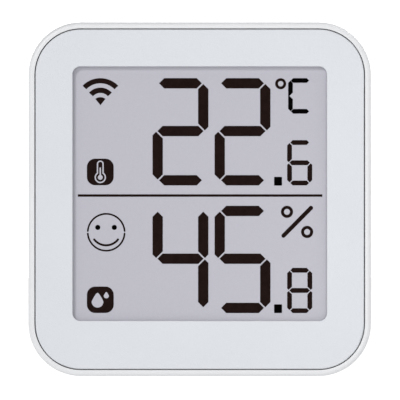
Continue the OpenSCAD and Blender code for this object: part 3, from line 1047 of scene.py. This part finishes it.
LARGE = DigitStyle(10.11, 19.41, 1.86, 0.25, 0.13, 0.29, 0.13)
SMALL = DigitStyle(4.53, 8.18, 0.86, 0.14, 0.1, 0.16, 0.0)
LETTER = DigitStyle(4.28, 6.42, 0.84, 0.07, 0.02, 0.0, 0.0)
LETTER_BACK: tuple[Flat, ...] = (
    (-1.72, 2.77), (-1.3, 2.35), (-1.3, 0.6), (-1.9, 0.0), (-1.3, -0.6),
    (-1.3, -2.35), (-1.72, -2.77), (-2.14, -2.35), (-2.14, 2.35),
)
LETTER_AT: Flat = (18.14, 50.7)
WIRELESS_AT: Flat = (-17.98, 49.42)
BULB_AT: Flat = (-18.0, 35.95)
COMFORT_AT: Flat = (-16.93, 26.02)


@dataclass
class SegmentDisplay(Assembly):
    """Dark segments and signs of the display, which reads 22.6 degrees and 45.8 per cent.

    The comfort sign is a thin broken circle with two dots and an arc.
    """

    lift: float = 0.02
    inlay: float = 0.01
    tens_x: float = -3.49
    ones_x: float = 7.74
    tenths_x: float = 18.085
    upper_z: float = 44.205
    lower_z: float = 21.105
    upper_tenths_z: float = 38.6
    lower_tenths_z: float = 15.49
    point_low: Flat = (13.455, 34.47)
    point_size: Flat = (1.43, 1.58)
    point_corner: float = 0.12
    rows_apart: float = 23.07
    signs: tuple[SignPiece, ...] = (
        SignPiece("wireless_sign", (
            Sector(WIRELESS_AT, 3.56, 4.49, 46.0),
            Sector(WIRELESS_AT, 1.82, 2.78, 48.0),
            Sector((-17.98, 49.02), 0.0, 1.45, 39.0),
        )),
        SignPiece("thermometer_tile", (Tile((-20.42, 34.53), (-15.58, 39.34), 1.5),)),
        SignPiece("thermometer_glass", (Flask(BULB_AT, 1.03, 1.24, 39.0),), FILM, 1),
        SignPiece("thermometer_bore", (Flask(BULB_AT, 0.79, 0.76, 38.77),), CRYSTAL, 2),
        SignPiece("thermometer_column", (Flask(BULB_AT, 0.44, 0.28, 37.75),), FILM, 3),
        SignPiece("drops_tile", (Tile((-20.42, 11.42), (-15.57, 16.2), 1.5),)),
        SignPiece(
            "pale_drops", (Drop((-18.5, 13.45), 1.06, 1.6), Drop((-16.91, 14.53), 0.47, 0.68)), FILM, 1
        ),
        SignPiece("comfort_line", (
            Ribbon(COMFORT_AT, 3.335, 0.31, 94.0, 172.0),
            Ribbon(COMFORT_AT, 3.335, 0.31, 274.0, 172.0),
            Ribbon((-16.95, 26.39), 2.73, 0.39, 128.0, 104.0),
        )),
        SignPiece("comfort_dots", (Drop((-18.46, 26.9), 0.46), Drop((-15.46, 26.9), 0.46)), SOLID_CRYSTAL),
    )
    units: tuple[SignPiece, ...] = (
        SignPiece("degree_ring", (Ring((14.64, 52.9), 1.0, 0.51),)),
        SignPiece(
            "temperature_letter",
            (Digit(LETTER, "C", LETTER_AT), Patch(LETTER_BACK, LETTER_AT)),
            SOLID_CRYSTAL,
        ),
        SignPiece("humidity_unit", (
            Ring((15.79, 29.72), 1.1, 0.56),
            Ring((19.43, 26.08), 1.1, 0.56),
            Slash((15.15, 25.4), (20.13, 30.43), 0.75),
        )),
    )
    divider: SignPiece = SignPiece("row_divider", (Tile((-22.07, 32.45), (22.19, 32.89), 0.05),))

    def readings(self) -> list[SignPiece]:
        """Sets both rows of digits with their decimal points.

        Returns:
            The digits and the point of each row.
        """
        rows = (
            ("temperature", "226", self.upper_z, self.upper_tenths_z, 0.0),
            ("humidity", "458", self.lower_z, self.lower_tenths_z, self.rows_apart),
        )
        pieces = []
        for name, read, middle, tenths, drop in rows:
            digits = (
                Digit(LARGE, read[0], (self.tens_x, middle)),
                Digit(LARGE, read[1], (self.ones_x, middle)),
                Digit(SMALL, read[2], (self.tenths_x, tenths)),
            )
            low = (self.point_low[0], self.point_low[1] - drop)
            high = (low[0] + self.point_size[0], low[1] + self.point_size[1])
            point = Tile(low, high, self.point_corner)
            pieces.append(SignPiece(f"{name}_digits", digits))
            pieces.append(SignPiece(f"{name}_decimal_point", (point,), SOLID_CRYSTAL))
        return pieces

    def raise_signs(self, piece: SignPiece) -> Object:
        """Builds a piece on the film, or as an inlay above a dark tile.

        Args:
            piece: Its signs, finish and layers below.

        Returns:
            The piece's object.
        """
        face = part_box("lcd_front_polariser")[0].y / MM
        sheet = SignSheet(face, self.lift)
        if piece.below:
            sheet = SignSheet(face - self.lift - (piece.below - 1) * self.inlay, self.inlay)
        for sign in piece.signs:
            sign.draw(sheet)
        return make_piece(piece.name, sheet.solid(), piece.finish, "case")

    def build(self) -> list[Object]:
        """Builds signs, digits, units and the line between the rows."""
        return [self.raise_signs(p) for p in (*self.signs, *self.readings(), *self.units, self.divider)]


@dataclass
class BoardAssembly(Assembly):
    """Main board with the electronic parts on its back."""

    board: Finish = BOARD
    chips: Finish = EPOXY

    def build(self) -> list[Object]:
        """Dresses the board and its parts.

        Returns:
            The board and its parts.
        """
        return dress({
            "main_board": self.board,
            "wireless_module": MODULE,
            "wireless_shield": TIN,
            "display_driver": self.chips,
            "humidity_sensor": self.chips,
            "chip_capacitors": CERAMIC,
            "push_switch": SWITCH_NYLON,
        })


@dataclass
class PowerBay(Assembly):
    """Two cells with their contact plates and conical springs."""

    sleeve: str = "#3a3f45"
    band: str = "#8fb89a"
    wire_d: float = 0.5
    wire_sides: int = 12
    coil_d: float = 7.0
    tip_d: float = 4.6
    turn_steps: int = 24
    flat_turns: float = 0.6
    rising_turns: float = 2.25

    def jacket(self, cell: str, heading: int) -> CellJacket:
        """Gives a cell's sleeve.

        Args:
            cell: CAD node of the cell.
            heading: Direction of its nub along x, 1 or -1.

        Returns:
            The sleeve, which fits the cell's length.
        """
        foot, nub = [corner.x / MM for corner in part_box(cell)][::heading]
        return CellJacket(f"{cell}_sleeve", self.sleeve, self.band, foot=foot, nub=nub)

    def spring(self, node: str, cell: str, heading: int) -> Object:
        """Builds a conical spring of round wire with a flat coil at each end.

        Args:
            node: CAD node that it stands for.
            cell: CAD node of the cell that it presses.
            heading: Direction of the spring's tip along x, 1 or -1.

        Returns:
            The spring, which replaces the node.
        """
        seat, tip = [corner.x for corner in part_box(node)][::heading]
        middle = sum(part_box(cell), Vector()) / 2.0
        axis = Vector((seat, middle.y, middle.z))
        half = self.wire_d / 2.0
        wide = self.coil_d / 2.0 - half
        rise = abs(tip - seat) / MM - self.wire_d
        start = axis + Vector((heading * half, wide, 0.0)) * MM
        mesh = bmesh.new()
        made = bmesh.ops.create_circle(
            mesh, segments=self.wire_sides, radius=half * MM, matrix=Matrix.Translation(start)
        )
        rings = [list({e for v in made["verts"] for e in v.link_edges})]
        for turns, climb in ((self.flat_turns, 0.0), (self.rising_turns, rise), (self.flat_turns, 0.0)):
            steps = round(turns * self.turn_steps)
            swept = bmesh.ops.spin(
                mesh,
                geom=rings[-1],
                cent=axis,
                axis=(1.0, 0.0, 0.0),
                dvec=(heading * climb * MM / steps, 0.0, 0.0),
                angle=math.tau * turns,
                steps=steps,
            )
            rings.append(only(BMEdge, swept["geom_last"]))
        for ring in (rings[0], rings[-1]):
            bmesh.ops.edgeloop_fill(mesh, edges=ring)
        for vert in mesh.verts:
            share = (abs(vert.co.x - axis.x) / MM - half) / rise
            inward = (wide - self.tip_d / 2.0) * min(1.0, max(0.0, share)) * MM
            spoke = Vector((0.0, vert.co.y - axis.y, vert.co.z - axis.z))
            vert.co -= spoke.normalized() * inward
        piece = make_piece(f"{node}_coil", mesh, NICKEL, "case")
        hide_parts(node)
        return piece

    def build(self) -> list[Object]:
        """Dresses cells and plates, and builds the springs.

        Returns:
            Cells, plates and springs.
        """
        dressed = dress({
            "upper_cell": self.jacket("upper_cell", -1),
            "lower_cell": self.jacket("lower_cell", 1),
            "positive_contact": NICKEL,
            "negative_contact": NICKEL,
            "bridge_contact": NICKEL,
        })
        return [
            *dressed,
            self.spring("negative_spring", "lower_cell", 1),
            self.spring("bridge_spring", "upper_cell", -1),
        ]


@dataclass
class BackControls(Assembly):
    """Battery door, fold-out stand and pairing button."""

    covers: Finish = CASE_ABS

    def build(self) -> list[Object]:
        """Dresses the moving mouldings.

        Returns:
            The mouldings.
        """
        return dress({
            "battery_door": self.covers,
            "fold_stand": self.covers,
            "pairing_button": BUTTON_ABS,
            "switch_plunger": SWITCH_NYLON,
        })


@dataclass
class Fasteners(Assembly):
    """Pan-head screws with a tapered cross recess and a blunt point."""

    head_d: float = 4.0
    head_h: float = 1.6
    crown: float = 0.7
    shank_d: float = 2.3
    shank_l: float = 6.0
    point_l: float = 1.2
    point_d: float = 0.805
    flat_d: float = 2.5
    cross: float = 2.2
    arm: float = 0.55
    recess: float = 1.0
    recess_taper: float = 0.5

    def turn_blank(self, mesh: BMesh, seat: Vector) -> None:
        """Turns shank and head, and leaves the flat on the head open.

        Args:
            mesh: Mesh that gets the screw.
            seat: Where the head's underside meets the axis.
        """
        profile = (
            (0.0, -self.shank_l),
            (self.point_d, -self.shank_l),
            (self.shank_d, self.point_l - self.shank_l),
            (self.shank_d, 0.0),
            (self.head_d, 0.0),
            (self.head_d, self.head_h),
            (self.flat_d, self.head_h),
        )
        line = [mesh.verts.new(seat + Vector((width / 2.0, y, 0.0)) * MM) for width, y in profile]
        edges = [mesh.edges.new(pair) for pair in zip(line, line[1:])]
        bmesh.ops.spin(
            mesh,
            geom=[*line, *edges],
            cent=seat,
            axis=(0.0, 1.0, 0.0),
            angle=math.tau,
            steps=ROUND,
            use_merge=True,
        )

    def circle(self, mesh: BMesh, top: Vector, width: float) -> list[BMEdge]:
        """Finds a circle on the head's top.

        Args:
            mesh: Mesh of the screw.
            top: Middle of the head's top.
            width: Width of the circle in millimetres.

        Returns:
            Its edges.
        """
        level = {v for v in mesh.verts if abs(v.co.y - top.y) < TOUCH}
        spots = {v for v in level if abs((v.co - top).length - width / 2.0 * MM) < TOUCH}
        return [e for e in mesh.edges if set(e.verts) <= spots]

    def sink_cross(self, mesh: BMesh, top: Vector) -> None:
        """Closes the head's flat round a cross and sinks the cross to a smaller floor.

        Args:
            mesh: Mesh of the screw.
            top: Middle of the head's top.
        """
        half, reach = self.arm / 2.0, self.cross / 2.0
        quarter = [Vector((half, 0.0, half)), Vector((half, 0.0, reach)), Vector((-half, 0.0, reach))]
        turns = [Matrix.Rotation(-k * math.pi / 2.0, 4, "Y") for k in range(4)]
        loop = [mesh.verts.new(top + turn @ spot * MM) for turn in turns for spot in quarter]
        sides = [mesh.edges.new(pair) for pair in zip(loop, loop[1:] + loop[:1])]
        flat = self.circle(mesh, top, self.flat_d)
        bmesh.ops.triangle_fill(mesh, use_beauty=True, edges=[*flat, *sides])
        sunk = bmesh.ops.extrude_edge_only(mesh, edges=sides)["geom"]
        floor = only(BMVert, sunk)
        narrow = Matrix.Diagonal((self.recess_taper, 1.0, self.recess_taper, 1.0))
        bmesh.ops.transform(mesh, matrix=narrow, space=Matrix.Translation(-top), verts=floor)
        bmesh.ops.translate(mesh, verts=floor, vec=(0.0, -self.recess * MM, 0.0))
        bmesh.ops.edgeloop_fill(mesh, edges=only(BMEdge, sunk))

    def case_screws(self) -> Object:
        """Builds one case screw whose head faces the back, and copies it to the other side.

        Returns:
            Both screws, which replace their node.
        """
        low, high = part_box("case_screws")
        inset = self.head_d / 2.0 * MM
        seat = Vector((low.x + inset, high.y - self.head_h * MM, (low.z + high.z) / 2.0))
        top = seat + Vector((0.0, self.head_h, 0.0)) * MM
        mesh = bmesh.new()
        self.turn_blank(mesh, seat)
        self.sink_cross(mesh, top)
        bmesh.ops.bevel(
            mesh,
            geom=self.circle(mesh, top, self.head_d),
            offset=self.crown * MM,
            segments=4,
            profile=0.5,
            affect="EDGES",
            material=-1,
        )
        copied = bmesh.ops.duplicate(mesh, geom=[*mesh.verts, *mesh.edges, *mesh.faces])["geom"]
        across = (high.x - low.x - 2.0 * inset, 0.0, 0.0)
        bmesh.ops.translate(mesh, verts=only(BMVert, copied), vec=across)
        screws = make_piece("cross_head_screws", mesh, ZINC, "case")
        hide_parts("case_screws")
        return screws

    def build(self) -> list[Object]:
        """Builds the two case screws and dresses the board screws."""
        return [self.case_screws(), *dress({"board_screws": ZINC})]


@dataclass(frozen=True)
class Lamp:
    """Square soft light aimed at the middle of the object.

    Attributes:
        name: Name of the light.
        place: Where it hangs, in millimetres.
        size: Width of its diffuser in millimetres.
        power: Its power in watts.
    """

    name: str
    place: tuple[float, float, float]
    size: float
    power: float


@dataclass
class Studio:
    """White table in a bright room, with a camera square to the display.

    The room's light is given by the height of its direction, from -1 straight down to 1
    straight up. The table only shows white, and the room's lower part lights the object.
    """

    view_width: float = 72.32
    view_middle: Flat = (0.045, 31.86)
    distance: float = 1200.0
    sensor: float = 36.0
    clip: Flat = (10.0, 50000.0)
    table: float = 1500.0
    table_sides: int = 96
    room_light: tuple[Flat, ...] = ((-0.04, 0.9), (-0.03, 1.35), (0.08, 1.35), (0.45, 0.1))
    lamps: tuple[Lamp, ...] = (
        Lamp("key", (-520.0, -900.0, 620.0), 260.0, 6.5),
        Lamp("fill", (40.0, -108.0, 12.0), 22.0, 0.0142),
        Lamp("top", (220.0, -40.0, 380.0), 300.0, 0.62),
        Lamp("back", (420.0, 900.0, 420.0), 300.0, 2.5),
    )

    def lay_table(self) -> None:
        """Lays the round white table top."""
        mesh = bmesh.new()
        bmesh.ops.create_circle(mesh, cap_ends=True, segments=self.table_sides, radius=self.table * MM)
        data = bpy.data.meshes.new("table_top")
        mesh.to_mesh(data)
        mesh.free()
        data.materials.append(OPAL.material())
        table = bpy.data.objects.new("table_top", data)
        bpy.context.scene.collection.objects.link(table)
        table.visible_diffuse = False

    def hang_lamps(self) -> None:
        """Hangs the soft lights."""
        target = Vector((0.0, 0.0, self.view_middle[1])) * MM
        for lamp in self.lamps:
            data = bpy.data.lights.new(lamp.name, "AREA")
            data.energy = lamp.power
            data.size = lamp.size * MM
            light = bpy.data.objects.new(lamp.name, data)
            light.location = Vector(lamp.place) * MM
            light.rotation_euler = (target - light.location).to_track_quat("-Z", "Y").to_euler()
            light.visible_camera = False
            bpy.context.scene.collection.objects.link(light)

    def light_room(self) -> None:
        """Sets the even light of the room, brightest along its white walls."""
        world = bpy.data.worlds.new("room")
        world.use_nodes = True
        graph = Graph(world.node_tree, "Background")
        height = graph.add("SeparateXYZ", "Z", {"Vector": graph.place})
        share = graph.add(
            "MapRange", "Result", {"Value": height, "From Min": -1.0, "From Max": 1.0}
        )
        stops = [((place + 1.0) / 2.0, (light, light, light, 1.0)) for place, light in self.room_light]
        strength = graph.add("ValToRGB", "Color", {"Fac": share}, stops)
        graph.wire(graph.shader, {"Color": linear("#ffffff"), "Strength": strength})
        bpy.context.scene.world = world

    def set_camera(self) -> None:
        """Sets the camera square to the display, at the height of the picture's middle."""
        front = CAD_BOX[0][1] / MM
        data = bpy.data.cameras.new("front_camera")
        data.sensor_width = self.sensor
        data.lens = self.sensor * (self.distance + front) / self.view_width
        data.clip_start, data.clip_end = (end * MM for end in self.clip)
        camera = bpy.data.objects.new("front_camera", data)
        camera.location = Vector((self.view_middle[0], -self.distance, self.view_middle[1])) * MM
        camera.rotation_euler = (math.pi / 2.0, 0.0, 0.0)
        bpy.context.scene.collection.objects.link(camera)
        bpy.context.scene.camera = camera

    def build(self) -> None:
        """Sets table, lights, camera and plain colours."""
        self.lay_table()
        self.hang_lamps()
        self.light_room()
        self.set_camera()
        bpy.context.scene.view_settings.view_transform = "Standard"


def main() -> None:
    """Builds every sub-assembly in order, then the studio round it."""
    logging.basicConfig(level=logging.INFO, format="%(name)s: %(message)s")
    assemblies: tuple[Assembly, ...] = (
        CaseShell(),
        DisplayStack(),
        SegmentDisplay(),
        BoardAssembly(),
        PowerBay(),
        BackControls(),
        Fasteners(),
    )
    for assembly in assemblies:
        for piece in assembly.build():
            LOG.info("%s: %s", type(assembly).__name__, piece.name)
    Studio().build()


if __name__ == "__main__":
    main()
